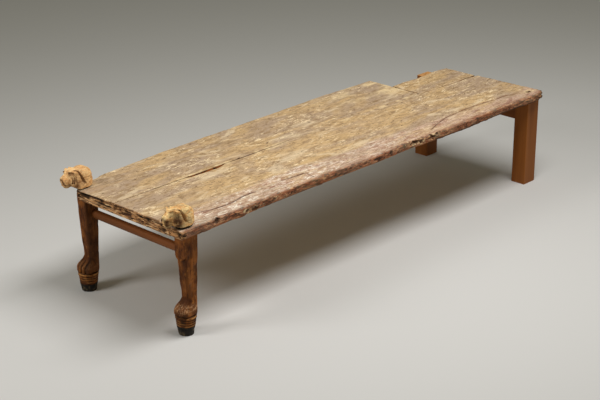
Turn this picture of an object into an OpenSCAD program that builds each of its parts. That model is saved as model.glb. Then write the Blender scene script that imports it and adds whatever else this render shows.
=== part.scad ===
// Embalmers bed: a plank top on two carved lion legs and two plain rear posts.
// +X runs to the foot end, the lion heads face -X, the near side is -Y and +Z is up.
// The origin is on the floor, under the middle of the whole bed.

/* [Plank top] */
// Length of the planks, head end to foot end
bed_l = 2204; // [2000:4:2400]
// Width of the top at its widest
bed_w = 704; // [690:2:730]
// Height of the top face above the floor
top_h = 432; // [420:2:480]
// Thickness of the planks
plank_t = 32; // [28:1:38]
// Radius of the worn long edges
edge_r = 9; // [5:1:12]
// Width of the near plank
near_plank_w = 401; // [390:1:410]
// Open width of the seams between the planks
seam_gap = 2; // [1:0.5:4]
// How far the head end is worn back in its middle
head_wear = 20; // [8:1:26]
// How far the foot end is worn back in its middle
foot_wear = 14; // [4:1:18]
// Length of the foot plank
foot_plank_l = 409; // [380:1:440]
// Width of the foot plank
foot_plank_w = 183; // [170:1:190]
// How far the foot plank reaches across the long seam
foot_step = 17; // [8:1:24]

/* [Cracks and old cuttings] */
// Width of the open cracks
crack_w = 2; // [1:0.5:3]
// Depth of the open cracks
crack_d = 9; // [4:1:14]
// Length of the empty mortise in the head end
socket_l = 42; // [30:1:50]
// Height of the empty mortise
socket_h = 12; // [8:1:14]
// Depth of the empty mortise
socket_d = 36; // [20:1:50]
// Distance of the empty mortise from the far leg's axis
socket_in = 66; // [60:1:74]

/* [Strips under the planks] */
// Thickness of the head batten, the side rails and the rear bearer
strip_t = 9; // [7:1:12]
// Width of the head batten
batten_w = 38; // [30:1:44]
// How far the head batten lies behind the head end
batten_in = 11; // [9:1:20]
// Width of the side rails
side_rail_w = 50; // [44:1:56]
// Width of the rear bearer
bearer_w = 62; // [58:1:66]
// How far the far side rail lies inside the far leg's axis
far_rail_in = 36; // [32:1:42]

/* [Lion heads] */
// Half length of the mane
mane_x = 42; // [39:1:44]
// Half width of the mane
mane_y = 40; // [37:1:42]
// Height of a lion head
lion_h = 79; // [75:1:84]
// How far the muzzle reaches past the head end of the planks
muzzle_reach = 46; // [42:1:52]
// Distance of the mane's middle from the head end
mane_in = 50; // [49:1:54]
// Side of the square pin that holds a head
pin_side = 14; // [10:1:16]
// How far the pin reaches up into the head
pin_up = 26; // [18:1:30]
// How far the pin reaches down into the plank
pin_down = 22; // [14:1:24]
// How far the pin's axis lies ahead of the mane's middle
pin_ahead = 7; // [6:1:9]
// How far the near head stands outside the axis of its leg
near_head_out = 4; // [2:1:6]
// How far the far head stands outside the axis of its leg
far_head_out = 6; // [2:1:7]

/* [Lion legs] */
// Distance of the leg's axis from the head end
leg_in = 53; // [52:1:58]
// Distance of the near leg's axis from the near edge
leg_side = 67; // [62:1:72]
// Distance of the far leg's axis from the far edge's widest line
far_leg_side = 83; // [78:1:88]
// Breadth of the leg across the bed
leg_y = 48; // [44:1:54]
// Depth of the leg at the top
leg_top_x = 68; // [64:1:71]
// How far the leg's back lies behind its axis
leg_back = 50; // [47:1:52]
// Depth of the leg at the ankle
ankle_x = 49; // [44:1:53]
// Length of the paw
paw_x = 77; // [72:1:78]
// Breadth of the paw
paw_y = 68; // [62:1:70]
// Height of the paw above the drum
paw_h = 62; // [54:1:70]
// Depth of the grooves between the toes
toe_groove = 4; // [2:0.5:5]
// Diameter of the drum's rim
rim_d = 80; // [79:1:88]
// Diameter of the drum at the floor
drum_d = 58; // [50:1:64]
// Height of the drum
drum_h = 76; // [68:1:84]
// Height of the drum's black base
base_h = 27; // [20:1:32]
// Length of the leg's tenon
leg_tenon_x = 28; // [22:1:32]
// Thickness of the leg's tenon
leg_tenon_y = 20; // [16:1:24]
// Thickness of the facing on the near leg
facing_t = 11; // [8:1:13]
// Height of the facing on the near leg
facing_h = 104; // [90:1:120]

/* [Rails and posts] */
// Diameter of the front rail
rail_d = 34; // [30:1:36]
// How far the front rail's axis lies below the strips
rail_drop = 77; // [66:1:90]
// How far the front rail's axis lies behind the middle of the legs' tops
rail_back = 14; // [8:1:15]
// Diameter of the front rail's tenons
rail_tenon_d = 22; // [16:1:24]
// Length of the front rail's tenons
rail_tenon_l = 20; // [14:1:24]
// Breadth of the rear posts across the bed
post_w = 71; // [66:1:76]
// Breadth of the rear posts along the bed
post_l = 80; // [74:1:86]
// Distance of the near post's axis from the foot end
post_in = 47; // [45:1:52]
// Distance of the far post's axis from the foot end
far_post_in = 58; // [54:1:62]
// Distance of the far post's axis from the far edge's widest line
far_post_side = 77; // [72:1:84]
// Length of the near post's tenon
post_tenon_x = 27; // [22:1:30]
// Thickness of the near post's tenon
post_tenon_y = 13; // [9:1:16]
// How far that tenon lies ahead of the post's axis
post_tenon_ahead = 2; // [0:1:3]
// How far that tenon lies outside the post's axis
post_tenon_out = 6; // [3:1:10]
// How deep that tenon ends below the top face
post_tenon_low = 4; // [2:1:8]
// Width of the bevel on the posts' arrises
post_bevel = 1.5; // [0.5:0.5:3]
// Height of the rear cross rail
cross_h = 59; // [50:1:64]
// Thickness of the rear cross rail
cross_t = 24; // [20:1:30]
// How far the cross rail lies below the strips
cross_drop = 39; // [30:1:50]
// Thickness of the cross rail's tenons
cross_tenon_t = 12; // [8:1:16]
// Length of the cross rail's tenons
cross_tenon_l = 24; // [16:1:30]

/* [Tenons, pegs and screws] */
// Number of loose tenons in the long seam
seam_tenons_n = 4; // [3:1:4]
// Distance of the first loose tenon from the head end
seam_tenon_in = 150; // [130:5:170]
// Distance between the loose tenons
seam_tenon_pitch = 450; // [400:5:460]
// Length of a loose tenon along its seam
loose_x = 60; // [46:1:70]
// Width of a loose tenon across its seam
loose_y = 84; // [64:1:96]
// Thickness of a loose tenon
loose_z = 9; // [7:1:11]
// Diameter of the wooden pegs
peg_d = 8; // [6:0.5:10]
// Wood left above the pegs
peg_cover = 6; // [4:1:8]
// Shank diameter of the screws
screw_d = 5; // [4:0.5:6]
// Head diameter of the screws
screw_head_d = 10; // [9:0.5:11]
// Depth of the screws in the planks
screw_up = 16; // [12:1:18]
// Number of screws in each side rail
side_screws_n = 5; // [3:1:7]
// Clearance round tenons, pegs and screws
fit = 0.2; // [0.1:0.05:0.3]

/* [Hidden] */
$fn = 48;
eps = 0.01;

// Ends, edges, seams and levels of the top
x_foot = (bed_l + muzzle_reach) / 2;
x_head = x_foot - bed_l;
y_near = -bed_w / 2;
y_far = bed_w / 2;
y_seam = y_near + near_plank_w;
y_foot_seam = y_seam - foot_step;
y_foot_far = y_foot_seam + foot_plank_w;
x_foot_plank = x_foot - foot_plank_l;
under_z = top_h - plank_t;
mid_z = top_h - plank_t / 2;
strip_z = under_z - strip_t;

// Axes of legs, heads, posts and strips
leg_x = x_head + leg_in;
near_y = y_near + leg_side;
far_y = y_far - far_leg_side;
leg_spread = far_y - near_y;
head_x = x_head + mane_in;
near_head_y = near_y - near_head_out;
far_head_y = far_y + far_head_out;
post_x = x_foot - post_in;
far_post_x = x_foot - far_post_in;
far_post_y = y_far - far_post_side;
cross_x = (post_x + far_post_x) / 2;
post_span = far_post_y - near_y - post_w;
shaft_x = leg_back - leg_top_x / 2;
shaft_mid_x = leg_x + shaft_x;
rail_x = shaft_mid_x + rail_back;
bearer_x = post_x + post_l / 2 - bearer_w;
far_rail_y = far_y - far_rail_in;
side_rail_x = leg_x + leg_back + fit;
batten_x = x_head + batten_in;
pin_x = head_x - pin_ahead;
rail_z = strip_z - rail_drop;
cross_z = strip_z - cross_drop - cross_h;
post_tenon_at = [post_x - post_tenon_ahead, near_y - post_tenon_out];

// Worn outlines, hand-drawn. Each point of a long edge is its share of the bed's length and
// how far the edge lies inside its widest line there, each point of an end its share of the
// bed's width and its share of the end's wear
near_edge = [[0, 16], [0.05, 15], [0.15, 19], [0.22, 26], [0.3, 29], [0.38, 23], [0.48, 18],
    [0.58, 23], [0.65, 15], [0.73, 7], [0.84, 13], [0.91, 12], [0.96, 0], [1, 6]];
far_edge = [[0, 42], [0.04, 42], [0.054, 56], [0.08, 38], [0.15, 30], [0.24, 18], [0.37, 13],
    [0.5, 11], [0.68, 0], [0.76, 10], [1, 10]];
head_end = [[0.02, 0], [0.1, 0.15], [0.18, 0.75], [0.26, 1], [0.34, 0.7], [0.42, 0.95],
    [0.56, 0.9], [0.64, 0.6], [0.8, 0.35], [0.95, 0.35]];
foot_end = [[0.1, 0], [0.2, 0.55], [0.35, 0.95], [0.5, 1], [0.6, 1]];
foot_plank_edge = [[0.03, 5], [0.2, 4], [0.42, 12], [0.6, 11], [0.76, 0], [0.86, 5], [1, 12]];
// Line along which the far plank's head corner has broken away: distance from the head end and
// distance inside the far edge's widest line
broken_corner = [[6, 104], [34, 66], [56, 52], [80, 38]];

// Cracks in the near plank: share of the bed's length and distance from the near edge's line
head_crack = [[0.082, 108], [0.14, 100], [0.207, 101]];
patch_crack = [[0.279, 104], [0.331, 95], [0.325, 42]];
foot_crack = [[0.659, 58], [0.71, 92], [0.745, 98], [0.814, 104], [0.878, 99], [0.935, 90],
    [0.962, 67]];

// Paw sections: share of the paw's height and how much of the paw's bulge is there
paw_bulge = [[-0.02, 0.93], [0.06, 0.98], [0.22, 1], [0.4, 0.95], [0.53, 0.8], [0.68, 0.52],
    [0.82, 0.2], [0.92, 0.05]];
// Shaft sections: share of the shaft's height and share of the way from ankle to top
shaft_growth = [[0, 0], [0.12, 0.05], [0.25, 0.28], [0.43, 0.5], [0.66, 0.77], [1, 1]];
ankle_z = drum_h + paw_h;
ankle_back = leg_back - 4;
heel_back = rim_d / 2 - 1;
ankle_r = 15;
paw_r = 23;
top_r = 5;

function mix(a, b, t) = a + (b - a) * t;
function along(share) = x_head + share * bed_l;
function across(share) = y_near + share * bed_w;

// Solid between rings, each counter-clockwise as seen from the last ring's side
module loft(rings) {
    n = len(rings[0]);
    m = len(rings);
    sides = [for (j = [0 : m - 2]) for (i = [0 : n - 1]) for (half = [0, 1])
        let (a = j * n + i, b = j * n + (i + 1) % n)
        half == 0 ? [a, a + n, b + n] : [a, b + n, b]];
    first = [for (i = [1 : n - 2]) [0, i, i + 1]];
    last = [for (i = [1 : n - 2]) [(m - 1) * n, (m - 1) * n + i + 1, (m - 1) * n + i]];
    polyhedron([for (r = rings) for (p = r) p], concat(first, sides, last));
}

// Section of a plank at x, square at the seam and round at the worn edge
function plank_ring(x, y_square, y_worn) = let (
        s = sign(y_worn - y_square),
        low = [for (a = [0 : 30 : 90])
            [y_worn - s * edge_r * (1 - sin(a)), under_z + edge_r * (1 - cos(a))]],
        high = [for (a = [90 : -30 : 0])
            [y_worn - s * edge_r * (1 - sin(a)), top_h - edge_r * (1 - cos(a))]],
        whole = concat([[y_square, under_z]], low, high, [[y_square, top_h]]),
        last = len(whole) - 1)
    [for (i = [0 : last]) let (p = whole[s > 0 ? i : last - i]) [x, p[0], p[1]]];

// Cuts away what lies ahead of the worn head end
module head_end_wear() {
    translate([0, 0, under_z - 1]) linear_extrude(plank_t + 2)
        polygon(concat([[x_head - 1, y_near - 1]],
            [for (p = head_end) [x_head + p[1] * head_wear, across(p[0])]],
            [[x_head + head_wear / 2, y_far + 1], [x_head - 1, y_far + 1]]));
}

// A narrow open crack along points that are given as share of length and distance from the edge
module crack(path) {
    for (i = [0 : len(path) - 2]) {
        a = [along(path[i][0]), y_near + path[i][1]];
        b = [along(path[i + 1][0]), y_near + path[i + 1][1]];
        turn = atan2(b[1] - a[1], b[0] - a[0]);
        translate([a[0], a[1], top_h - crack_d]) rotate([0, 0, turn])
            translate([0, -crack_w / 2, 0]) cube([norm(b - a), crack_w, crack_d + 1]);
    }
}

// Places of the loose tenons, their pegs and the fixings
function seam_tenon_x(i) = x_head + seam_tenon_in + i * seam_tenon_pitch;
function foot_tenon_x(i) = x_foot_plank + foot_plank_l * (0.25 + 0.5 * i);
function side_screw_x(i) = mix(side_rail_x, bearer_x, (i + 0.5) / side_screws_n);
end_tenon_y = mix(y_seam, y_foot_far, 0.5);
batten_peg_ys = [for (s = [0.2, 0.4, 0.62, 0.82]) mix(near_y, far_y, s)];
bearer_screw_ys = [mix(near_y, y_foot_seam, 0.35), mix(near_y, y_foot_seam, 0.8),
    mix(y_foot_seam, y_foot_far, 0.25), mix(y_foot_seam, y_foot_far, 0.75)];
peg_top = top_h - peg_cover;

module loose_tenon(gap) {
    cube([loose_x + 2 * gap, loose_y + 2 * gap, loose_z + 2 * gap], center = true);
}
module peg(low_z, high_z, gap) {
    translate([0, 0, low_z]) cylinder(d = peg_d + 2 * gap, h = high_z - low_z);
}
module seam_tenon_set(gap) {
    for (i = [0 : seam_tenons_n - 1])
        translate([seam_tenon_x(i), y_seam, mid_z]) loose_tenon(gap);
}
module seam_peg_set(gap, high_z) {
    for (i = [0 : seam_tenons_n - 1]) for (s = [-1, 1])
        translate([seam_tenon_x(i), y_seam + s * loose_y / 4, 0]) peg(under_z, high_z, gap);
}
module foot_tenon_set(gap) {
    for (i = [0, 1]) translate([foot_tenon_x(i), y_foot_seam, mid_z]) loose_tenon(gap);
}
module foot_peg_set(gap, high_z) {
    for (i = [0, 1]) for (s = [-1, 1])
        translate([foot_tenon_x(i), y_foot_seam + s * loose_y / 4, 0])
            peg(under_z, high_z, gap);
}
module end_tenon(gap) {
    translate([x_foot_plank, end_tenon_y, mid_z]) rotate([0, 0, 90]) loose_tenon(gap);
}
module batten_peg_set(gap, high_z) {
    for (y = batten_peg_ys) translate([batten_x + batten_w / 2, y, 0])
        peg(strip_z, high_z, gap);
}
module head_pin_at(y, gap) {
    translate([pin_x, y, top_h + (pin_up - pin_down) / 2])
        cube([pin_side + 2 * gap, pin_side + 2 * gap, pin_up + pin_down], center = true);
}

// Countersunk screw from below, its head flush with the strip's underside
module screw(gap) {
    head_h = (screw_head_d - screw_d) / 2;
    translate([0, 0, strip_z]) rotate_extrude() polygon([[0, 0], [screw_head_d / 2, 0],
        [screw_d / 2 + gap, head_h - gap], [screw_d / 2 + gap, strip_t + screw_up],
        [0, strip_t + screw_up]]);
}
module near_side_screws(gap) {
    for (i = [0 : side_screws_n - 1]) translate([side_screw_x(i), near_y, 0]) screw(gap);
}
module far_side_screws(gap) {
    for (i = [0 : side_screws_n - 2]) translate([side_screw_x(i), far_rail_y, 0]) screw(gap);
}
module bearer_screws(gap) {
    for (y = bearer_screw_ys) translate([bearer_x + bearer_w / 2, y, 0]) screw(gap);
}

module near_plank() {
    color("tan") difference() {
        loft([for (p = near_edge)
            plank_ring(along(p[0]), y_seam - seam_gap / 2, y_near + p[1])]);
        head_end_wear();
        translate([0, 0, under_z - 1]) linear_extrude(plank_t + 2)
            polygon(concat([[x_foot + 1, across(0.1)]],
                [for (p = foot_end) [x_foot - p[1] * foot_wear, across(p[0])]],
                [[x_foot + 1, across(0.6)]]));
        translate([x_foot_plank - seam_gap / 2, y_foot_seam - seam_gap / 2, under_z - 1])
            cube([foot_plank_l + seam_gap, foot_step + seam_gap, plank_t + 2]);
        crack(head_crack);
        crack(patch_crack);
        crack(foot_crack);
        seam_tenon_set(fit);
        seam_peg_set(fit, peg_top);
        foot_tenon_set(fit);
        foot_peg_set(fit, peg_top);
        batten_peg_set(fit, peg_top);
        leg_mortise(near_y);
        head_pin_at(near_head_y, fit);
        near_side_screws(fit);
        bearer_screws(fit);
        near_post_tenon(fit, top_h + 1);
    }
}

module far_plank() {
    color("tan") difference() {
        loft([for (p = far_edge)
            plank_ring(along(p[0]), y_seam + seam_gap / 2, y_far - p[1])]);
        head_end_wear();
        translate([x_foot_plank - seam_gap / 2, y_seam, under_z - 1])
            cube([foot_plank_l + seam_gap, bed_w, plank_t + 2]);
        translate([0, 0, under_z - 1]) linear_extrude(plank_t + 2)
            polygon(concat([for (p = broken_corner) [x_head + p[0], y_far - p[1]]],
                [[x_head + broken_corner[3][0], y_far + 1], [x_head - 1, y_far + 1],
                    [x_head - 1, y_far - broken_corner[0][1]]]));
        translate([x_head - 1, far_y - socket_in - socket_l / 2, mid_z])
            cube([socket_d + 1 + head_wear / 2, socket_l, socket_h]);
        seam_tenon_set(fit);
        seam_peg_set(fit, peg_top);
        end_tenon(fit);
        batten_peg_set(fit, peg_top);
        leg_mortise(far_y);
        head_pin_at(far_head_y, fit);
        far_side_screws(fit);
    }
}

module foot_plank() {
    butt_x = x_foot_plank + seam_gap / 2;
    near_side_y = y_foot_seam + seam_gap / 2;
    end_in = 3;
    color("burlywood") difference() {
        translate([0, 0, under_z]) linear_extrude(plank_t)
            polygon(concat([[butt_x, near_side_y], [x_foot - end_in, near_side_y]],
                [for (i = [len(foot_plank_edge) - 1 : -1 : 0]) let (p = foot_plank_edge[i])
                    [mix(butt_x, x_foot - end_in - (i == 6 ? 9 : 0), p[0]), y_foot_far - p[1]]],
                [[butt_x + 8, y_foot_far - 6]]));
        foot_tenon_set(fit);
        foot_peg_set(fit, peg_top);
        end_tenon(fit);
        bearer_screws(fit);
    }
}

module head_batten() {
    low_y = near_y + leg_y / 2;
    color("peru") difference() {
        translate([batten_x, low_y, strip_z]) cube([batten_w, leg_spread - leg_y, strip_t]);
        batten_peg_set(fit, under_z + 1);
    }
}

// Distances to simple bodies, all in a lion head's own frame: forward, sideways, up
function ball(p, c, r) = let (
        q = [(p[0] - c[0]) / r[0], (p[1] - c[1]) / r[1], (p[2] - c[2]) / r[2]],
        g = norm([q[0] / r[0], q[1] / r[1], q[2] / r[2]]),
        l = norm(q))
    g < 0.0001 ? -min(r) : l * (l - 1) / g;
function block(p, c, h, r) = let (
        q = [for (i = [0 : 2]) abs(p[i] - c[i]) - h[i] + r])
    norm([for (v = q) max(v, 0)]) + min(max(q), 0) - r;
function bar(p, a, b, r) = let (
        ab = b - a,
        t = min(max((p - a) * ab / (ab * ab), 0), 1))
    norm(p - a - ab * t) - r;
function blend(a, b, k) = let (h = max(k - abs(a - b), 0) / k) min(a, b) - h * h * k / 4;
function carve(a, b, k) = -blend(-a, b, k);

function blend_out(a, b, k) = -blend(-a, -b, k);
// Like a ball, but fuller towards its upper and lower corners
function egg(p, c, r) = let (
        q = [for (i = [0 : 2]) abs(p[i] - c[i]) / r[i]],
        round_part = pow(pow(q[1], 3.2) + pow(q[2], 3.2), 0.625))
    (sqrt(q[0] * q[0] + round_part) - 1) * min(r);

// The lion head's form: mane and base, skull, cheeks, muzzle, nose, chin, brows, ears with
// their hollows, eye sockets, mouth and the groove between face and mane
tip = mane_in + muzzle_reach;
mane_r = 45;
base_ahead = 30;
base_cut = mane_x - 1;
function mane(p) = blend(
    egg(p, [-1, 0, lion_h - mane_r - 0.4], [mane_x - 1, mane_y - 2, mane_r]),
    blend_out(ball([p[0], p[1], 0], [base_ahead, 0, 0], [mane_x + base_ahead, mane_y, mane_y]),
        max(p[0] - base_cut, p[2] - 26), 10), 16);
function face(p) = let (
        q = [p[0], abs(p[1]), p[2]],
        skull = egg(p, [38, 0, lion_h - 30], [35, 33, 30]),
        cheek = ball(q, [45, 17, 36], [23, 18, 25]),
        muzzle = block(p, [tip - 24, 0, 36], [21, 18, 17], 12),
        nose = ball(p, [tip - 13, 0, 45], [12, 13, 11]),
        chin = ball(p, [tip - 26, 0, 18], [14, 12, 9]),
        bridge = bar(p, [58, 0, 62], [tip - 18, 0, 48], 14),
        brow = ball(q, [59, 14, lion_h - 8], [12, 12, 8]))
    blend(blend(blend(blend(blend(blend(skull, cheek, 10), muzzle, 10), nose, 6), chin, 8),
        bridge, 10), brow, 7);
function groove_at(z) = let (up = max(z - 19, 0)) 13 + 0.24 * up + 0.0033 * up * up;
function groove_depth(z) = 6.5 * min(max((z - 18) / 12, 0), 1) * min(max((76 - z) / 12, 0), 1);
function lion(p) = let (
        q = [p[0], abs(p[1]), p[2]],
        body = blend(mane(p), face(p), 8),
        band = max(abs(p[0] - groove_at(p[2])) - 3, 13 - q[1]),
        grooved = carve(body, max(band, -body - groove_depth(p[2])), 4),
        eyed = carve(grooved, ball(q, [67, 23, lion_h - 10], [8, 8, 5]), 4),
        eared = blend(eyed, ball(q, [42, 24, lion_h - 7], [12, 9, 6]), 9),
        hollow = carve(eared, ball(q, [41, 31, lion_h - 4], [8, 6, 5]), 3),
        mouth = max(abs(p[2] - 22 - 0.12 * (p[0] - 80)) - 1.2, 62 - p[0]))
    carve(hollow, max(mouth, -hollow - 2.5), 2);

// Distance from a point inside the head to its skin along d
heart = [28, 0, 38];
function shell_at(d, lo, hi, steps) = let (m = (lo + hi) / 2)
    steps == 0 ? m
    : lion(heart + d * m) < 0 ? shell_at(d, m, hi, steps - 1) : shell_at(d, lo, m, steps - 1);
head_rings = 28;
head_points = 40;

module lion_head(y) {
    difference() {
        translate([head_x, y, top_h]) mirror([1, 0, 0])
            loft([for (j = [head_rings : -1 : 1])
                let (lat = 180 * pow((j - 0.5) / head_rings, 1.2))
                [for (i = [0 : head_points - 1]) let (
                        lon = i * 360 / head_points,
                        d = [cos(lat), sin(lat) * cos(lon), sin(lat) * sin(lon)])
                    heart + d * shell_at(d, 5, 90, 13)]]);
        translate([head_x - 2 * tip, y - 2 * mane_y, top_h - 2 * mane_y])
            cube([4 * tip, 4 * mane_y, 2 * mane_y]);
        head_pin_at(y, fit);
    }
}
module near_lion_head() { color("burlywood") lion_head(near_head_y); }
module far_lion_head() { color("burlywood") lion_head(far_head_y); }

// Section of a leg at height z: front and back from the axis, half breadth, corner radius
leg_points = 40;
function leg_ring(z, front, back, half, r, toe) = [for (i = [0 : leg_points - 1]) let (
        a = (i + 0.5) * 360 / leg_points,
        x = cos(a) > 0 ? back - r + r * cos(a) : front + r + r * cos(a),
        y = sin(a) * r + sign(sin(a)) * (half - r),
        between_toes = (1 + cos(360 * y / (paw_y / 4))) / 2)
    [x + toe * between_toes * pow(max(-cos(a), 0), 0.5), y, z]];
paw_front = heel_back - paw_x;
ankle_front = ankle_back - ankle_x;
top_front = leg_back - leg_top_x;
leg_rings = concat(
    [for (p = paw_bulge) leg_ring(drum_h + p[0] * paw_h, mix(ankle_front, paw_front, p[1]),
        mix(ankle_back, heel_back, p[1]), mix(leg_y, paw_y, p[1]) / 2,
        mix(ankle_r, paw_r, p[1]), toe_groove * p[1])],
    [for (p = shaft_growth) leg_ring(mix(ankle_z, under_z, p[0]),
        mix(ankle_front, top_front, p[1]), mix(ankle_back, leg_back, p[1]), leg_y / 2,
        mix(ankle_r, top_r, p[1]), 0)]);

// Turned drum with a plain base, ribs and a rim band
ribs_n = 4;
rim_band = 10;
rib_pitch = (drum_h - rim_band - base_h) / ribs_n;
function drum_r(z) = mix(drum_d / 2, rim_d / 2 - 1.5, z / (drum_h - rim_band));
module drum() {
    rotate_extrude() polygon(concat([[0, 0], [drum_r(0) - 1, 0], [drum_r(2), 2]],
        [[drum_r(base_h - 1), base_h - 1]],
        [for (k = [0 : ribs_n - 1]) for (s = [[0, -1.6], [0.3, 0.6], [0.7, 0.6]])
            let (z = base_h + (k + s[0]) * rib_pitch) [drum_r(z) + s[1], z]],
        [[rim_d / 2 - 3, drum_h - rim_band], [rim_d / 2, drum_h - rim_band + 2],
            [rim_d / 2, drum_h - 2], [rim_d / 2 - 2, drum_h], [0, drum_h]]));
}

leg_tenon_low = 1;
module leg_tenon_body(y, gap, high_z) {
    translate([shaft_mid_x - leg_tenon_x / 2 - gap, y - leg_tenon_y / 2 - gap, under_z - 5])
        cube([leg_tenon_x + 2 * gap, leg_tenon_y + 2 * gap, high_z - under_z + 5]);
}
module leg_mortise(y) { leg_tenon_body(y, fit, top_h + 1); }

module lion_leg(y, inward) {
    difference() {
        union() {
            translate([leg_x, y, 0]) loft(leg_rings);
            translate([leg_x, y, 0]) drum();
            leg_tenon_body(y, 0, top_h - leg_tenon_low);
        }
        translate([rail_x, y + inward * (leg_y / 2 - rail_tenon_l - fit), rail_z])
            rotate([-90 * inward, 0, 0]) cylinder(d = rail_tenon_d + 2 * fit, h = leg_y);
    }
}

// Slip of wood let into the front of the near leg, round at its foot
facing_back = top_front + 8;
module facing_body(thick, breadth) {
    translate([leg_x + facing_back, near_y, 0]) rotate([0, -90, 0]) linear_extrude(thick)
        union() {
            translate([under_z - facing_h + breadth / 2, -breadth / 2])
                square([facing_h - breadth / 2, breadth]);
            translate([under_z - facing_h + breadth / 2, 0]) circle(d = breadth);
        }
}
module near_leg_facing() { color("sienna") facing_body(facing_t, leg_y); }
module near_lion_leg() {
    color("sienna") difference() {
        lion_leg(near_y, 1);
        facing_body(leg_top_x, leg_y + eps);
    }
}
module far_lion_leg() { color("sienna") lion_leg(far_y, -1); }

module front_rail() {
    span = leg_spread - leg_y;
    color("saddlebrown") translate([rail_x, near_y + leg_y / 2, rail_z])
        rotate([-90, 0, 0]) union() {
            cylinder(d = rail_d, h = span);
            translate([0, 0, -rail_tenon_l])
                cylinder(d = rail_tenon_d, h = span + 2 * rail_tenon_l);
        }
}

module near_post_tenon(gap, high_z) {
    translate([post_tenon_at[0] - post_tenon_x / 2 - gap,
            post_tenon_at[1] - post_tenon_y / 2 - gap, post_h() - 5])
        cube([post_tenon_x + 2 * gap, post_tenon_y + 2 * gap, high_z - post_h() + 5]);
}
function post_h() = strip_z;
cross_shoulder = 8;
module cross_tenon(gap) {
    translate([cross_x - cross_tenon_t / 2 - gap,
            near_y + post_w / 2 - cross_tenon_l - gap, cross_z + cross_shoulder - gap])
        cube([cross_tenon_t + 2 * gap, post_span + 2 * (cross_tenon_l + gap),
            cross_h - 2 * cross_shoulder + 2 * gap]);
}
module post(x, y) {
    h = post_w / 2;
    l = post_l / 2;
    b = post_bevel;
    translate([x, y, 0]) linear_extrude(post_h())
        polygon([[-l, b - h], [b - l, -h], [l - b, -h], [l, b - h], [l, h - b], [l - b, h],
            [b - l, h], [-l, h - b]]);
}
module near_rear_post() {
    color("chocolate") difference() {
        union() {
            post(post_x, near_y);
            near_post_tenon(0, top_h - post_tenon_low);
        }
        cross_tenon(fit);
    }
}
module far_rear_post() {
    color("chocolate") difference() {
        post(far_post_x, far_post_y);
        cross_tenon(fit);
    }
}
module rear_cross_rail() {
    color("saddlebrown") union() {
        translate([cross_x - cross_t / 2, near_y + post_w / 2, cross_z])
            cube([cross_t, post_span, cross_h]);
        cross_tenon(0);
    }
}

module rear_bearer() {
    low_y = near_y - side_rail_w / 2;
    color("saddlebrown") difference() {
        translate([bearer_x, low_y, strip_z])
            cube([bearer_w, far_rail_y + side_rail_w / 2 - low_y, strip_t]);
        near_post_tenon(fit, top_h + 1);
        bearer_screws(0);
    }
}
module side_rail(y) {
    translate([side_rail_x, y - side_rail_w / 2, strip_z])
        cube([bearer_x - side_rail_x, side_rail_w, strip_t]);
}
module near_side_rail() {
    color("saddlebrown") difference() { side_rail(near_y); near_side_screws(0); }
}
module far_side_rail() {
    color("saddlebrown") difference() { side_rail(far_rail_y); far_side_screws(0); }
}

module seam_tenons() {
    color("peru") difference() { seam_tenon_set(0); seam_peg_set(fit, top_h); }
}
module seam_tenon_pegs() { color("khaki") seam_peg_set(0, peg_top); }
module foot_plank_tenons() {
    color("peru") difference() { foot_tenon_set(0); foot_peg_set(fit, top_h); }
}
module foot_plank_tenon_pegs() { color("khaki") foot_peg_set(0, peg_top); }
module plank_end_tenon() { color("peru") end_tenon(0); }
module head_pins() {
    color("khaki") union() { head_pin_at(near_head_y, 0); head_pin_at(far_head_y, 0); }
}
module batten_pegs() { color("khaki") batten_peg_set(0, peg_top); }
module rail_screws() {
    color("silver") union() {
        near_side_screws(0);
        far_side_screws(0);
        bearer_screws(0);
    }
}

near_plank();
far_plank();
foot_plank();
head_batten();
near_lion_head();
far_lion_head();
near_lion_leg();
far_lion_leg();
near_leg_facing();
front_rail();
near_rear_post();
far_rear_post();
rear_cross_rail();
rear_bearer();
near_side_rail();
far_side_rail();
seam_tenons();
seam_tenon_pegs();
foot_plank_tenons();
foot_plank_tenon_pegs();
plank_end_tenon();
head_pins();
batten_pegs();
rail_screws();
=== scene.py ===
import math
import bpy
import numpy as np
from mathutils import Matrix, Vector


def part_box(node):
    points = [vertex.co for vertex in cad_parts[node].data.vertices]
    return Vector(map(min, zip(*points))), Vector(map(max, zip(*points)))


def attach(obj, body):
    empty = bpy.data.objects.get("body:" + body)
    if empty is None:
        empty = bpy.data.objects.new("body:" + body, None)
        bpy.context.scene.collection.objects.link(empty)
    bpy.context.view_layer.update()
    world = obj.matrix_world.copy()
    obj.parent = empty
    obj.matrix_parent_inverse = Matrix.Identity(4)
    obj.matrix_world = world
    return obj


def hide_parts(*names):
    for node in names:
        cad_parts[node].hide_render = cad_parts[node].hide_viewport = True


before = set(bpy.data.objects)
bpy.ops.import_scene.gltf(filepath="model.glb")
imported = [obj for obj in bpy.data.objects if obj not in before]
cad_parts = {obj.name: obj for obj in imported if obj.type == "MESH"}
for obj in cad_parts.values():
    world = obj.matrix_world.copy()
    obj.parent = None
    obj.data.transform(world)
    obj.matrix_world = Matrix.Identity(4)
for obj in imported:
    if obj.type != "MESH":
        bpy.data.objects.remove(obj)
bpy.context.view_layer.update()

# Camera: where it stands in the bed's frame, how it is turned, and its lens
CAMERA_AT = (-4.3702, -4.0006, 2.5364)
CAMERA_TURN = math.radians(-46.774)
CAMERA_DOWN = math.radians(21.995)
CAMERA_ROLL = math.radians(-0.122)
CAMERA_REACH = 60.0
SENSOR = 36.0
LENS = 91.2

# Everything below is worked out in millimetres and turned into metres in the meshes
MM = 0.001
# A limit that nothing reaches, and how far off an edge is put where no rim is worn
FREE, UNWORN = 1e6, 2000


def new_object(name, data):
    thing = bpy.data.objects.new(name, data)
    bpy.context.scene.collection.objects.link(thing)
    return thing


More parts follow.
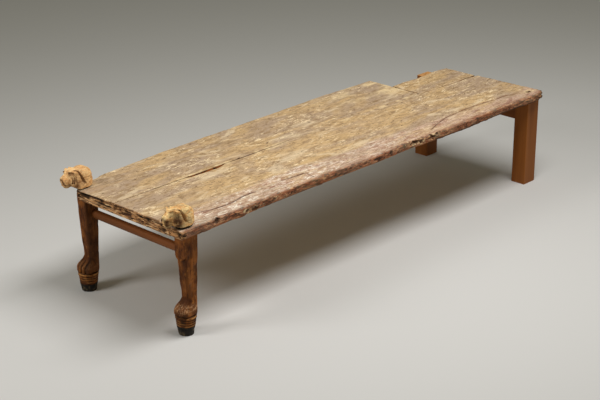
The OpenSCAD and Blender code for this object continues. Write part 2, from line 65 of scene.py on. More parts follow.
def make_camera():
    sin, cos = math.sin, math.cos
    back = Vector((sin(CAMERA_TURN) * cos(CAMERA_DOWN), -cos(CAMERA_TURN) * cos(CAMERA_DOWN),
                   sin(CAMERA_DOWN)))
    level = Vector((cos(CAMERA_TURN), sin(CAMERA_TURN), 0))
    upright = back.cross(level)
    right = level * cos(CAMERA_ROLL) + upright * sin(CAMERA_ROLL)
    up = upright * cos(CAMERA_ROLL) - level * sin(CAMERA_ROLL)
    data = bpy.data.cameras.new("camera")
    data.lens, data.sensor_width, data.clip_end = LENS, SENSOR, CAMERA_REACH
    cam = new_object("camera", data)
    turned = Matrix((right, up, back)).transposed().to_4x4()
    cam.matrix_world = Matrix.Translation(CAMERA_AT) @ turned
    bpy.context.scene.camera = cam


def box_mm(node):
    """A node's lowest and highest corners in millimetres."""
    low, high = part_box(node)
    return np.array(low) / MM, np.array(high) / MM


# ---- Fields and noise ----

def hashed(i, j, k, seed):
    """A number from -1 to 1 for each cell of a grid."""
    h = ((i * 73856093) ^ (j * 19349663) ^ (k * 83492791) ^ (seed * 40503 + 977)) & 0xFFFFFFFF
    for _ in range(2):
        h = ((h ^ (h >> 16)) * 0x45D9F3B) & 0xFFFFFFFF
    return ((h ^ (h >> 16)) & 0xFFFF) / 32767.5 - 1


def noise(p, size, seed):
    """Smooth noise from -1 to 1 at the points p, with one bump per size."""
    q = p / np.asarray(size, float)
    low = np.floor(q).astype(np.int64)
    t = q - low
    t = t * t * (3 - 2 * t)
    shares, total = (1 - t, t), 0
    for i, j, k in np.ndindex(2, 2, 2):
        weight = shares[i][..., 0] * shares[j][..., 1] * shares[k][..., 2]
        total = total + weight * hashed(low[..., 0] + i, low[..., 1] + j, low[..., 2] + k, seed)
    return total


def layered(p, size, seed, octaves=3, gain=0.5):
    """Noise with finer noise on it."""
    total, share, size = 0, 1.0, np.asarray(size, float)
    for o in range(octaves):
        total = total + share * noise(p, size, seed + o * 17)
        share, size = share * gain, size / 2
    return total / sum(gain ** o for o in range(octaves))


def step(a, b, v):
    """Rises smoothly from 0 at a to 1 at b."""
    t = np.clip((v - a) / (b - a), 0, 1)
    return t * t * (3 - 2 * t)


def fall(a, b, v):
    """Falls smoothly from 1 at a to 0 at b."""
    return 1 - step(a, b, v)


def bump(v, centre, reach):
    """1 at the centre, falling away to both sides."""
    return np.exp(-((v - centre) / reach) ** 2)


def eased(points, x, reach):
    """A line through given points, with its corners eased."""
    return sum(np.interp(x + d * reach, *np.transpose(points)) for d in (-1, -0.5, 0, 0.5, 1)) / 5


def wander(xs, amount, size, seed):
    """A small unevenness along a line."""
    return amount * noise(np.stack([xs, 0 * xs, 0 * xs], 1), (size, 9, 9), seed)


# ---- Meshes ----

def add_piece(name, rings, limits, masks, material, slot, *nodes):
    """Makes a piece from closed rings in millimetres, kept within limits, for CAD nodes."""
    verts = np.clip(rings.reshape(-1, 3), *limits)
    mesh = bpy.data.meshes.new(name)
    mesh.from_pydata((verts * MM).tolist(), [], outward(verts, loft_faces(*rings.shape[:2])))
    mesh.update()
    for mask, values in masks.items():
        a = mesh.attributes.new(mask, "FLOAT", "POINT")
        a.data.foreach_set("value", np.clip(values, 0, 1).reshape(-1).astype(np.float32))
    mesh.shade_smooth()
    mesh.materials.append(material)
    piece = new_object(name, mesh)
    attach(piece, "root")
    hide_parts(*nodes)


def loft_faces(m, n):
    """Faces round m rings of n points, and over the first and the last ring."""
    faces = [(a + i, a + (i + 1) % n, a + n + (i + 1) % n, a + n + i)
             for a in range(0, (m - 1) * n, n) for i in range(n)]
    return faces + [tuple(range(n - 1, -1, -1)), tuple(range((m - 1) * n, m * n))]


def outward(verts, faces):
    """Turns the faces round if the solid is inside out. The two end faces have no say."""
    tri = np.array([f[:3] for f in faces[:-2]])
    a, b, c = verts[tri[:, 0]], verts[tri[:, 1]], verts[tri[:, 2]]
    return faces if (a * np.cross(b, c)).sum() > 0 else [f[::-1] for f in faces]


def normals_of(rings):
    """Outward normals of a closed loft, from its neighbours along and around."""
    around = np.roll(rings, -1, axis=1) - np.roll(rings, 1, axis=1)
    n = np.cross(around, np.gradient(rings, axis=0))
    return n / np.maximum(np.linalg.norm(n, axis=2, keepdims=True), 1e-6)


# ---- Planks ----

near_low, near_high = box_mm("near_plank")
far_low, far_high = box_mm("far_plank")
foot_low, foot_high = box_mm("foot_plank")
HEAD, NEAR, UNDER = near_low
FOOT, _, TOP = near_high
LENGTH, FAR = FOOT - HEAD, far_high[1]
SEAM = (near_high[1] + far_low[1]) / 2
# Middle and half size of the open mortise over the near post's tenon
post_low, post_high = box_mm("near_rear_post")
SLOT = ((post_low + post_high) / 2)[:2] - (2, 6)
SLOT_HALF = (16.5, 9.5)
# Middle of the butt joint between the far plank and the foot plank
BUTT = (far_high[0] + foot_low[0]) / 2

# Outlines: share of the length, and how far the edge lies inside the widest line
NEAR_EDGE = [(0, 16), (0.05, 15), (0.15, 19), (0.22, 26), (0.3, 29), (0.38, 23), (0.48, 18),
             (0.58, 23), (0.65, 15), (0.73, 7), (0.84, 13), (0.91, 12), (0.96, 2), (0.985, 7),
             (0.993, 13), (1, 24)]
FAR_EDGE = [(0, 93), (0.003, 91), (0.015, 62), (0.03, 50), (0.042, 42), (0.054, 56),
            (0.08, 38), (0.15, 30), (0.24, 18), (0.37, 13), (0.5, 11), (0.68, 1), (0.76, 10),
            (1, 10)]
# Worn ends: distance from the near edge's line, and how far the end is worn back there
HEAD_END = [(0, 0), (70, 3), (127, 15), (182, 20), (239, 14), (296, 19), (352, 17), (394, 18),
            (450, 12), (492, 12), (563, 7), (599, 7), (704, 9)]
FOOT_END = [(0, 16), (22, 9), (48, 3), (90, 3), (141, 9), (246, 15), (352, 16), (392, 14),
            (562, 14)]
# How far along the plank the end's outline fades out, and the radius of the end's arrises
END_REACH, END_R = 110.0, 3.5
# Line of the long cracks in the near plank, from its head end and near edge, where along it
# is open, and where the second crack starts
CRACK_LINE = [(0, 108), (173, 106), (211, 93), (272, 86), (326, 88), (392, 101), (444, 102),
              (613, 108), (669, 100), (724, 94), (877, 84), (1177, 66), (1417, 50), (1450, 56),
              (1532, 86), (1623, 109), (1772, 116), (1900, 104), (2039, 98), (2117, 67),
              (2204, 60)]
CRACK_OPEN = [(160, 0), (185, 1), (437, 1), (465, 0), (590, 0), (613, 1), (722, 1), (738, 0),
              (1443, 0), (1457, 1), (2060, 1), (2110, 0)]
SECOND_CRACK = 1440
# Half the breadth of a crack at its bottom and at its lips
CRACK_IN, CRACK_OUT = 1.8, 3.2
# How far the near plank's top is worn back from the long seam: a little, torn open for a
# stretch, then a fine line that closes
SEAM_WORN = [(0, 3), (317, 4), (365, 5), (395, 14), (430, 15), (458, 18), (500, 17), (531, 19),
             (567, 11), (585, 3), (597, 3), (612, 6), (700, 7), (777, 6), (877, 4), (960, 1),
             (1077, 0.2), (1700, 0.2), (1780, 0.7), (2204, 1)]
# How far the far plank's side lies behind the middle of the seam
SEAM_EDGE = 0.4
# Line of the seam beside the foot plank: distance behind the butt and beyond the near line
FOOT_LINE = [(0, 394), (50, 391), (100, 387), (170, 387), (260, 383), (320, 384), (355, 378),
             (395, 373), (420, 371)]
# Distance between the rings of a plank, the radii of its lower worn arris and of its square
# side's arrises
RING_PITCH, LOW_R, SQUARE_R = 4.0, 8.0, 1.2
# The foot plank's far edge, and how far its near side lies from the seam's line
FOOT_EDGE = [(0, 8), (0.03, 5), (0.2, 4), (0.42, 12), (0.6, 11), (0.76, 1), (0.86, 5), (1, 12)]
FOOT_GAP = [(0, 0.8), (60, 1.0), (110, 0.5), (180, 1.8), (260, 1), (330, 4.5), (380, 5.5),
            (410, 4)]
# Broken places on the near edge: where along, how far below the top, length, height, depth
BREAKS = [(172, 9, 12, 7, 9), (332, 17, 16, 6, 5), (377, 22, 22, 7, 6), (477, 15, 14, 5, 4),
          (1306, 10, 30, 7, 10), (1342, 17, 12, 6, 7), (1407, 12, 16, 9, 9), (1442, 8, 9, 6, 6)]


def ring_stations(low, high, extra=()):
    """Places of the rings along a plank: dense at the ends, even between, plus extra ones."""
    ends = np.array([0, 0.6, 1.6, 3, 5, 8])
    even = np.linspace(low + 10, high - 10, int((high - low - 20) / RING_PITCH))
    return np.unique(np.round(np.concatenate([low + ends, even, high - ends, extra]), 2))


def plank_rings(xs, worn_y, square_y, n_top, n_low, worn_r, cracks=None):
    """Rings of a plank: across the top, down its square side, back below, up its worn side.
    worn_y and square_y are the places of the two sides for each ring."""
    s = np.sign(square_y - worn_y)[:, None]
    worn, square = worn_y[:, None], square_y[:, None]
    start, stop, low_start = worn + s * worn_r, square - s * SQUARE_R, worn + s * LOW_R
    if cracks is None:
        top_y = start + (stop - start) * np.linspace(0, 1, n_top)
    else:
        c = int(n_top * 0.25)
        mid = cracks[:, None]
        before, after = mid - s * CRACK_OUT, mid + s * CRACK_OUT
        top_y = np.concatenate([
            start + (before - start) * np.linspace(0, 1, c), mid + s * (-CRACK_IN, CRACK_IN),
            after + (stop - after) * np.linspace(0, 1, n_top - c - 2)], 1)
    low_arc, top_arc = np.radians(np.linspace(12, 90, 6)), np.radians(np.linspace(90, 10, 8))
    up = np.linspace(UNDER + LOW_R, TOP - worn_r, 5)[1:-1]
    down = np.array([0.35, 1.2])
    y = np.concatenate([
        top_y, square - s * (0.4, 0, 0, 0, 0, 0, 0, 0.4),
        low_start + (stop - low_start) * np.linspace(1, 0, n_low),
        worn + s * LOW_R * (1 - np.sin(low_arc)), worn + 0 * up,
        worn + s * worn_r * (1 - np.sin(top_arc))], 1)
    z = np.concatenate([
        np.full(n_top, TOP), TOP - down, np.linspace(TOP - 5, UNDER + 5, 4), UNDER + down[::-1],
        np.full(n_low, UNDER), UNDER + LOW_R * (1 - np.cos(low_arc)), up,
        TOP - worn_r * (1 - np.cos(top_arc))])
    return np.stack(np.broadcast_arrays(xs[:, None], y, z), 2)


def close_ends(rings, low, high):
    """Rounds the ends of a plank and closes them with rings that shrink to its middle."""
    x, y, z = np.moveaxis(rings, -1, 0)
    mid_z = (TOP + UNDER) / 2
    within = END_R - np.minimum(np.minimum(x - low, high - x), END_R)
    inset = END_R - np.sqrt(np.maximum(END_R * END_R - within ** 2, 0))
    lowest, highest = y.min(1, keepdims=True), y.max(1, keepdims=True)
    z -= inset * np.sign(z - mid_z) * np.minimum(1, np.abs(z - mid_z) / 6)
    y -= inset * (y - (lowest + highest) / 2) / ((highest - lowest) / 2)
    caps = []
    for ring in (rings[0], rings[-1]):
        core_y = np.clip(ring[:, 1], ring[:, 1].min() + 15, ring[:, 1].max() - 15)
        core = np.stack([ring[:, 0], core_y, np.full(len(ring), mid_z)], 1)
        caps.append([ring + (core - ring) * v for v in (0.25, 0.5, 0.75, 0.93)])
    return np.concatenate([caps[0][::-1], rings, caps[1]])


def wear_ends(rings, head, foot):
    """Bends the head and foot end of a plank to their worn outlines, where it has them."""
    x, y = rings[..., 0], rings[..., 1]
    shift = 0
    if head is not None:
        shift = shift + eased(HEAD_END, y - NEAR, 9) * fall(head, head + END_REACH, x)
    if foot is not None:
        shift = shift - eased(FOOT_END, y - NEAR, 9) * step(foot - END_REACH, foot, x)
    x += shift
    return rings


def shape_ends(rings, low, high, head, foot, *lines):
    """Closes and wears a plank's ends. Returns its rings, and the lines at each of them."""
    rings = wear_ends(close_ends(rings, low, high), head, foot)
    return [rings] + [np.pad(v, (len(rings) - len(v)) // 2, "edge") for v in lines]


def weather(p, near_edge, far_edge, low, high, seed):
    """Gives a plank its worn skin. Returns the points and the masks of its look."""
    normal = normals_of(p)
    normal[:4], normal[-4:] = (-1, 0, 0), (1, 0, 0)
    x, y = p[..., 0], p[..., 1]
    rim = np.maximum(fall(0, 26, y - near_edge[:, None]), fall(0, 22, far_edge[:, None] - y))
    side = 1 - np.abs(normal[..., 2])
    end = fall(0, 9, np.minimum(x - low, high - x) - 16)
    up = np.clip(normal[..., 2], 0, 1)
    # The faces: broad waves, raised grain that runs a little askew, and short open pores
    skew = p + 0
    skew[..., 1] = y + 0.10 * x
    out = 0.5 * layered(p, (90, 40, 40), seed) - 0.3
    out = out + up * (0.30 * layered(skew, (130, 7, 30), seed + 3))
    out = out - up * 0.9 * step(0.42, 0.75, noise(skew, (26, 9, 30), seed + 5))
    # The worn edges and ends: chips and crumbled wood
    chips = layered(p, (70, 30, 13), seed + 7, 4, 0.6)
    crumbs = layered(p, (17, 9, 8), seed + 9)
    out = out + np.maximum(rim, end * 0.8) * (
        0.9 * crumbs - 0.9 - 5.0 * step(0.12, 0.55, chips) - 1.5 * step(0.3, 0.7, crumbs))
    # The end faces: splits between the layers
    face = end * side
    splits = layered(p, (60, 46, 4.5), seed + 11)
    out = out - face * (5.5 * step(-0.1, 0.5, splits) + 1.6 * (1 + noise(p, (9, 9, 7), seed)))
    dark = face * step(0.0, 0.35, splits) + rim * side * (
        step(0.10, 0.4, chips) * 0.7 + step(0.25, 0.6, crumbs) * 0.5)
    ragged = 0.3 * layered(p, (46, 20, 12), seed + 13)
    torn_side = rim * step(0.2, 0.6, side + ragged) * (0.9 + ragged)
    return p + normal * out[..., None], dict(
        rim=np.maximum(torn_side, face), dark=dark, end=face, pale=0 * x, strip=0 * x, rust=0 * x)


def add_mask(masks, name, values):
    """Raises a mask to these values where they are higher."""
    masks[name] = np.maximum(masks[name], values)


def seam_masks(masks, p, square, torn, lit=0.0, dusty=0.7, reach=8.0):
    """The faces that meet at a seam, painted in shade from lit below the top, its torn stretch,
    and the pale dust within reach of it."""
    x, y, z = np.moveaxis(p, -1, 0)
    off = np.abs(y - square[:, None])
    shut = step(930, 1050, x - HEAD) * (x < BUTT - 1)
    masks["seam"] = fall(0.6, 1.8, off) * (z > UNDER + 2) * (z < TOP - lit) * (1 - 0.8 * shut)
    masks["torn"] = torn * masks["seam"]
    dust = step(-0.3, 0.2, noise(p, (26, 400, 400), 41)) * (z > TOP - 2)
    add_mask(masks, "pale", dusty * dust * fall(0.4 * reach, reach, off))


def seam_dust(x):
    """How much pale dust lies along the long seam."""
    return np.interp(x - HEAD, (200, 260, 900, 1000, 1250, 1320, 1700, 1760),
                     (0, 0.7, 0.7, 0.2, 0.2, 0.7, 0.7, 0.1))


def torn_stretch(x):
    """Where the long seam is torn open."""
    return step(360, 400, x - HEAD) * fall(560, 600, x - HEAD)


def foot_line(xs):
    """Line of the seam between the near plank and the foot plank."""
    return NEAR + eased(FOOT_LINE, xs - BUTT, 8) + wander(xs, 1.2, 17, 29)


def make_near_plank(material):
    # Closer rings where the crack jogs, at the butt joint and round the mortise
    jog = HEAD + np.arange(705, 739, 1.4)
    fine = np.arange(SLOT[0] - 20, SLOT[0] + 20, 1.6)
    xs = ring_stations(HEAD, FOOT, np.concatenate([jog, [BUTT - 1.3, BUTT - 0.9], fine]))
    worn = NEAR + eased(NEAR_EDGE, (xs - HEAD) / LENGTH, 0.012) + wander(xs, 0.9, 30, 3)
    seam_worn = eased(SEAM_WORN, xs - HEAD, 6)
    square = np.where(xs < BUTT - 1.1, SEAM, foot_line(xs)) - seam_worn
    crack = NEAR + eased(CRACK_LINE, xs - HEAD, 14) + wander(xs, 1.6, 37, 5)
    rings = plank_rings(xs, worn, square, 104, 30, 11.0, crack)
    # Below its worn arris the plank still reaches the seam
    across = (rings[..., 1] - worn[:, None]) / (square - worn)[:, None]
    rings[..., 1] += np.maximum(seam_worn - 1, 0)[:, None] * step(0.9, 1, across) * fall(
        TOP - 16, TOP - 8, rings[..., 2])
    rings, worn, square, crack = shape_ends(rings, HEAD, FOOT, HEAD, FOOT, worn, square, crack)
    verts, masks = weather(rings, worn, worn + UNWORN, HEAD, FOOT, 11)
    x, y, z = np.moveaxis(rings, -1, 0)
    top, at, inside_edge = z > TOP - 4, x - HEAD, y - worn[:, None]
    # Long cracks: the first opens here and there, the second is dark all along
    second = at > SECOND_CRACK
    gap = np.abs(y - crack[:, None])
    bottom, lips = gap < CRACK_IN + 0.5, gap < CRACK_OUT + 0.2
    opened = eased(CRACK_OPEN, at, 5) * top
    broken = np.maximum(step(-0.8, 0.3, noise(rings, (31, 400, 400), 6)), second)
    verts[..., 2] -= 6 * opened * broken * bottom
    add_mask(masks, "dark", opened * (0.75 + 0.25 * broken) * (
        np.where(second, 1, 0.65) * bottom + 0.35 * lips * ~second))
    masks["rust"] = 0.6 * opened * bump(gap, 0, 6)
    reddish = fall(10, 62, inside_edge) * step(800, 1100, at) * top
    add_mask(masks, "rust", 0.5 * reddish * step(-0.3, 0.4, layered(rings, (60, 16, 40), 35)))
    # Short cross crack down to the edge
    inward = y - NEAR
    across = bump(at, 714 + (inward - 42) * 0.24, 1.5) * top * \
        step(34, 46, inward) * fall(90, 96, inward)
    verts[..., 2] -= 4 * across
    add_mask(masks, "dark", across)
    # Broken places on the near side with frayed pale rims, and painted shadow on the arris below
    side_band = fall(0, 24, inside_edge)
    for bx, bz, bl, bh, deep in BREAKS:
        along = (at - bx) / bl + 0.9 * noise(rings, (11, 9, 6), 31)
        down = (TOP - z - bz) / bh + 0.7 * noise(rings, (8, 9, 5), 32)
        reach = np.hypot(along, down)
        pit = side_band * fall(0.7, 1.15, reach)
        verts[..., 1] += deep * pit
        add_mask(masks, "dark", 0.7 * pit)
        frayed = step(0.0, 0.4, noise(rings, (6, 9, 5), 33))
        add_mask(masks, "pale", side_band * bump(reach, 1.4, 0.3) * frayed)
    # Painted shadow along the lower arris towards the foot end
    add_mask(masks, "dark", 0.85 * (side_band * fall(UNDER + 5, UNDER + 10, z) * step(
        1380, 1450, at)))
    # Open mortise above the near post's tenon, painted in shade inside, its rim pale and worn
    slot = (((rings[..., :2] - SLOT) / SLOT_HALF) ** 4).sum(-1) ** 0.25
    inside = fall(0.85, 1.15, slot)
    verts[..., 2] -= top * (12 * inside + 1.6 * fall(1.1, 2.2, slot))
    add_mask(masks, "dark", top * inside)
    add_mask(masks, "pale", top * bump(slot, 1.35, 0.35))
    # The pinkish strip narrows towards the foot end, and its white remains thin out
    reach = 100 - 25 * step(1250, 1450, at) - 20 * step(1650, 1900, at) - 34 * layered(
        rings, (110, 30, 40), 8)
    masks["strip"] = fall(0, 45, inside_edge - reach) * top * \
        (0.95 + 0.35 * layered(rings, (90, 30, 40), 9))
    masks["white"] = 1 - 0.4 * step(800, 1000, at) - 0.45 * step(1250, 1450, at)
    # The top darkens towards its worn edge
    band = fall(1, 17 + 9 * step(1550, 1750, at), inside_edge + 7 * layered(
        rings, (40, 20, 40), 36))
    add_mask(masks, "rim", 0.75 * band)
    seam_masks(masks, rings, square, torn_stretch(x), 0, seam_dust(x), 20)
    add_piece("near_plank_wood", verts, (near_low, near_high), masks, material,
              "plank_wood", "near_plank")


def make_far_plank(material):
    high = far_high[0]
    xs = ring_stations(HEAD, high)
    worn = FAR - eased(FAR_EDGE, (xs - HEAD) / LENGTH, 0.004) + wander(xs, 0.9, 30, 13)
    square = SEAM + SEAM_EDGE + 0 * xs
    rings, worn, square = shape_ends(plank_rings(xs, worn, square, 56, 36, 8.0),
                                     HEAD, high, HEAD, None, worn, square)
    verts, masks = weather(rings, worn - UNWORN, worn, HEAD, high, 47)
    x, y, z = np.moveaxis(rings, -1, 0)
    # Empty mortise in the head end, with painted shade on its walls as on its bottom
    in_front = fall(HEAD + 14, HEAD + 19, x)
    off_y, off_z = y - NEAR - 562, TOP - z - 12
    verts[..., 0] += 16 * (np.exp(-((off_y / 21) ** 8 + (off_z / 6) ** 8)) * in_front)
    add_mask(masks, "dark", np.exp(-((off_y / 31) ** 8 + (off_z / 9.5) ** 8)) * in_front)
    # Washed-out area before the butt joint
    washed = step(high - 520, high - 160, x) * step(40, 150, y - SEAM) * (z > TOP - 6)
    masks["pale"] = washed * 0.95 * step(-0.25, 0.4, layered(rings, (110, 38, 40), 53))
    seam_masks(masks, rings, square, torn_stretch(x), 3, np.maximum(
        seam_dust(x), torn_stretch(x)), 14)
    add_piece("far_plank_wood", verts, (far_low, far_high), masks, material,
              "plank_wood", "far_plank")


def make_foot_plank(material):
    low, high = foot_low[0], FOOT - 3
    xs = ring_stations(low, high)
    worn = foot_high[1] - eased(FOOT_EDGE, (xs - low) / (high - low), 0.02) + wander(
        xs, 0.8, 25, 23)
    square = foot_line(xs) + eased(FOOT_GAP, xs - low, 8)
    rings, worn, square = shape_ends(plank_rings(xs, worn, square, 36, 10, 5.0),
                                     low, high, None, high, worn, square)
    verts, masks = weather(rings, square - UNWORN, worn, low - 9, high, 71)
    seam_masks(masks, rings, square, 0.3)
    add_piece("foot_plank_wood", verts, (foot_low, foot_high), masks, material,
              "foot_plank_wood", "foot_plank")


# ---- Lion heads ----

# How full an egg is: 2 makes it a ball
FULL = 3.2


def ball(p, c, r):
    """Distance to a ball, or to an ellipsoid where r has three radii."""
    q = (p - c) / r
    g = np.linalg.norm(q / r, axis=-1)
    n = np.linalg.norm(q, axis=-1)
    return n * (n - 1) / np.maximum(g, 1e-6)


def block(p, c, h, r):
    """Distance to a block of half size h with its edges rounded by r."""
    q = np.abs(p - c) - h + r
    return np.linalg.norm(np.maximum(q, 0), axis=-1) + np.minimum(q.max(-1), 0) - r


def bar(p, a, b, r):
    """Distance to a round bar from a to b."""
    a, b = np.array((a, b), float)
    t = np.clip((p - a) @ (b - a) / ((b - a) @ (b - a)), 0, 1)
    return np.linalg.norm(p - a - t[..., None] * (b - a), axis=-1) - r


def blend(a, b, k):
    """The shape that holds both a and b, with the corner between them filled."""
    h = np.maximum(k - np.abs(a - b), 0) / k
    return np.minimum(a, b) - h * h * k / 4


def carve(a, b, k):
    """The shape a without b."""
    return -blend(-a, b, k)


def common(a, b, k):
    """The shape that both a and b hold, with its edges rounded."""
    return -blend(-a, -b, k)


def egg(p, c, r):
    """Like a ball, but fuller towards its upper and lower corners."""
    q = np.abs(p - c) / r
    across = (q[..., 1] ** FULL + q[..., 2] ** FULL) ** (2 / FULL)
    return (np.sqrt(q[..., 0] ** 2 + across) - 1) * min(r)


# A head's height, how far its muzzle reaches from the middle of its mane, the point inside
# that its skin is seen from, and how near and how far from there the skin can be
HEAD_H = box_mm("near_lion_head")[1][2] - TOP
TIP = 96.0
HEART = np.array((28.0, 0.0, 38.0))
NEAREST, FURTHEST = 4.0, 92.0
# Carved lines of a head, forward, sideways and up from the middle of its mane
EAR = [(47, 21, HEAD_H), (41, 28, HEAD_H - 4), (35, 31, HEAD_H - 10)]
GROOVE = [(35, 31, HEAD_H - 10), (25, 33, 57), (17, 36, 40), (17, 39, 26)]
EYE = [(70, 15, 73), (65, 22, 71), (58, 27, 69)]
NOSE = (97, 3, 49)
NOSTRIL = [(96, 2, 50), (95, 6, 45), (91, 9, 36), (88, 13, 29)]
MOUTH = [(94, 0, 31), (90, 10, 28), (81, 16, 24), (68, 18, 25)]
FOLDS = [[(64, 25, 57), (61, 29, 44), (62, 27, 32)], [(57, 29, 62), (55, 32, 47), (57, 30, 31)],
         [(49, 33, 56), (50, 35, 42), (47, 36, 27)]]


def folded(p):
    """The points with their left half laid over their right half."""
    return np.stack([p[..., 0], np.abs(p[..., 1]), p[..., 2]], -1)


def stroke(q, points):
    """Distance to a line through points."""
    return np.minimum.reduce([bar(q, a, b, 0) for a, b in zip(points, points[1:])])


def lion(p, worn, seed):
    """Distance to a lion head's skin, forward, sideways and up from its mane's middle."""
    q = folded(p)
    f, side, z = np.moveaxis(q, -1, 0)
    # Mane and base: egg-shaped in plan, cut square in front
    mane = egg(p, (-1, 0, HEAD_H - 45), (41, 38, 45))
    plan = ball(np.stack([f, p[..., 1], 0 * f], -1), (30, 0, 0), (72, 40, 40))
    base = common(plan, np.maximum(f - 41, z - 26), 10)
    body = blend(mane, base, 16)
    face = egg(p, (38, 0, HEAD_H - 30), (35, 33, 30))
    for part, k in (
            (ball(q, (45, 17, 36), (23, 18, 25)), 10),
            (block(p, (TIP - 24, 0, 36), np.array((21, 17, 17)), 12), 10),
            (ball(p, (TIP - 13, 0, 45), (12, 13, 11)), 6),
            (ball(p, (70, 0, 18), (14, 12, 9)), 8),
            (bar(p, (58, 0, 62), (TIP - 18, 0, 48), 14), 10),
            (ball(q, (59, 14, HEAD_H - 8), (12, 12, 8)), 7)):
        face = blend(face, part, k)
    d = blend(body, face, 8)
    # Groove between face and mane, fading towards the base and the crown
    depth = 6.5 * step(16, 32, z) * fall(62, 78, z)
    up = np.maximum(z - 19, 0)
    band = np.maximum(np.abs(f - (13 + 0.24 * up + 0.0033 * up ** 2)) - 3.0, 13 - side)
    d = carve(d, np.maximum(band, -d - depth), 4)
    # Ears with a hollow behind the brows, eyes under them, cheek folds, mouth and nostrils
    d = blend(d, ball(q, (43, 24, HEAD_H - 8), (12, 10, 7)), 9)
    d = carve(d, stroke(q, EAR) - 3.4, 2.5)
    d = carve(d, ball(q, (67, 23, HEAD_H - 10), (8, 8, 5)), 4)
    d = carve(d, stroke(q, EYE) - 3.2, 2)
    d = blend(d, ball(q, (65, 20, HEAD_H - 11), (4, 3.5, 2.5)), 2)
    for fold in FOLDS:
        d = carve(d, stroke(q, fold) - 1.8, 2.5)
    d = carve(d, stroke(q, MOUTH) - 2.0, 2)
    d = carve(d, stroke(q, NOSTRIL) - 2.2, 2)
    # Worn skin, split along the grain
    torn = step(0.15, 0.6, noise(p, (30, 8, 26), seed + 4))
    return d + worn * (1.0 + 1.4 * layered(p, (30, 8, 8), seed) + 1.8 * torn) \
        + 0.4 * noise(p, (6, 3, 3), seed)


def make_head(node, worn, joint_h, seed, material, slot):
    """A head: rays from its heart find its skin, and it stands on the plank's top."""
    low, high = box_mm(node)
    rows, cols, halvings = 170, 230, 14
    lat = (np.pi * ((np.arange(rows) + 0.5) / rows) ** 1.15)[:, None]
    lon = 2 * np.pi * np.arange(cols) / cols
    way = np.stack(np.broadcast_arrays(
        np.cos(lat), np.sin(lat) * np.cos(lon), np.sin(lat) * np.sin(lon)), -1)
    near, out = np.full((rows, cols), NEAREST), np.full((rows, cols), FURTHEST)
    for _ in range(halvings):
        mid = (near + out) / 2
        inside = lion(HEART + way * mid[..., None], worn, seed) < 0
        near, out = np.where(inside, mid, near), np.where(inside, out, mid)
    floor = np.where(way[..., 2] < 0, (0.3 - HEART[2]) / np.minimum(way[..., 2], -1e-6), 1e9)
    p = HEART + way * np.minimum(near, floor)[..., None]
    # The base stands a little hollow on the plank: an open joint along its edge
    joint = fall(joint_h - 1.2, joint_h, p[..., 2]) * (p[..., 0] < 44)
    off = p[..., :2] - (2, 0)
    reach = np.linalg.norm(off, axis=-1, keepdims=True)
    p[..., :2] -= off / np.maximum(reach, 1) * (6.0 * joint[..., None] * step(20, 30, reach))
    verts = (low[0] + TIP, (low[1] + high[1]) / 2, TOP) + p * (-1, -1, 1)
    q = folded(p)
    f, side, z = np.moveaxis(q, -1, 0)
    # Painted shade along the carved lines of ears, groove, eyes, nostrils, mouth and folds, and a
    # dark spot on the nose
    dark = 0.9 * bump(stroke(q, EAR), 0, 3.2)
    for points, reach, share in (
            (GROOVE, 3.6, 0.75), (EYE, 3.4, 0.95), (NOSTRIL, 2.8, 1), (MOUTH, 2.4, 0.8),
            (FOLDS[0], 2.4, 0.6), (FOLDS[1], 2.2, 0.7), (FOLDS[2], 2.6, 0.6)):
        dark = np.maximum(dark, share * bump(stroke(q, points), 0, reach))
    dark = dark * (0.75 + 0.35 * noise(p, (9, 9, 9), seed + 6))
    dark = np.maximum(dark, bump(np.linalg.norm(q - NOSE, axis=-1), 0, 5))
    # Painted shadow, near black, in the open joint along the base
    gap = fall(joint_h - 0.4, joint_h + 0.8, z) * (f < 44)
    # Painted shade on the cheek behind the folds and on the throat, and on the worn head's muzzle
    # below the nose
    shade = bump(f, 42, 16) * bump(z, 34, 24) * step(18, 30, side) + \
        0.8 * fall(14, 26, z) * step(38, 46, f)
    cheek = bump(f, 52, 24) * bump(z, 42, 17) * step(16, 26, side)
    if worn > 0.5:
        muzzle = bump(f, 88, 16) * fall(44, 58, z) * step(2, 10, side)
        shade = np.maximum(shade, np.maximum(cheek, muzzle))
    else:
        shade = np.maximum(shade, 0.8 * cheek * step(-0.5, 0.4, noise(p, (14, 14, 9), seed + 7)))
    # Painted shade in the hollows: how far points a little way out along the normal still lie
    # inside the head
    normal = normals_of(p)
    normal = normal * np.sign((normal * way).sum(-1, keepdims=True))
    hollow = sum(np.clip(1 - lion(p + normal * d, 0, seed) / d, 0, 1) * w
                 for d, w in ((4, 0.4), (9, 0.4), (16, 0.35)))
    masks = dict(dark=dark, hollow=hollow, gap=gap, shade=shade)
    add_piece(node + "_carving", verts, (low, high), masks, material, slot, node)


# ---- Lion legs ----

near_leg_low, near_leg_high = box_mm("near_lion_leg")
DRUM_R = (near_leg_high[1] - near_leg_low[1]) / 2
DRUM_TOP, ANKLE, LEG_TOP = 76.0, 150, 399
# Sections of the leg above the drum: height, front, back, half breadth, corner radius
LEG = [(76, -37, 39, 34, 24), (88, -38, 39.5, 34, 22), (100, -36, 40, 33, 20),
       (112, -29, 41, 30, 18), (125, -14, 43, 26, 16), (140, -3, 44.5, 24, 15),
       (170, -4, 45, 24, 14), (200, -9, 46, 24, 12), (250, -11, 47, 24, 10),
       (310, -15, 49, 24, 7), (399, -18, 50, 24, 5)]


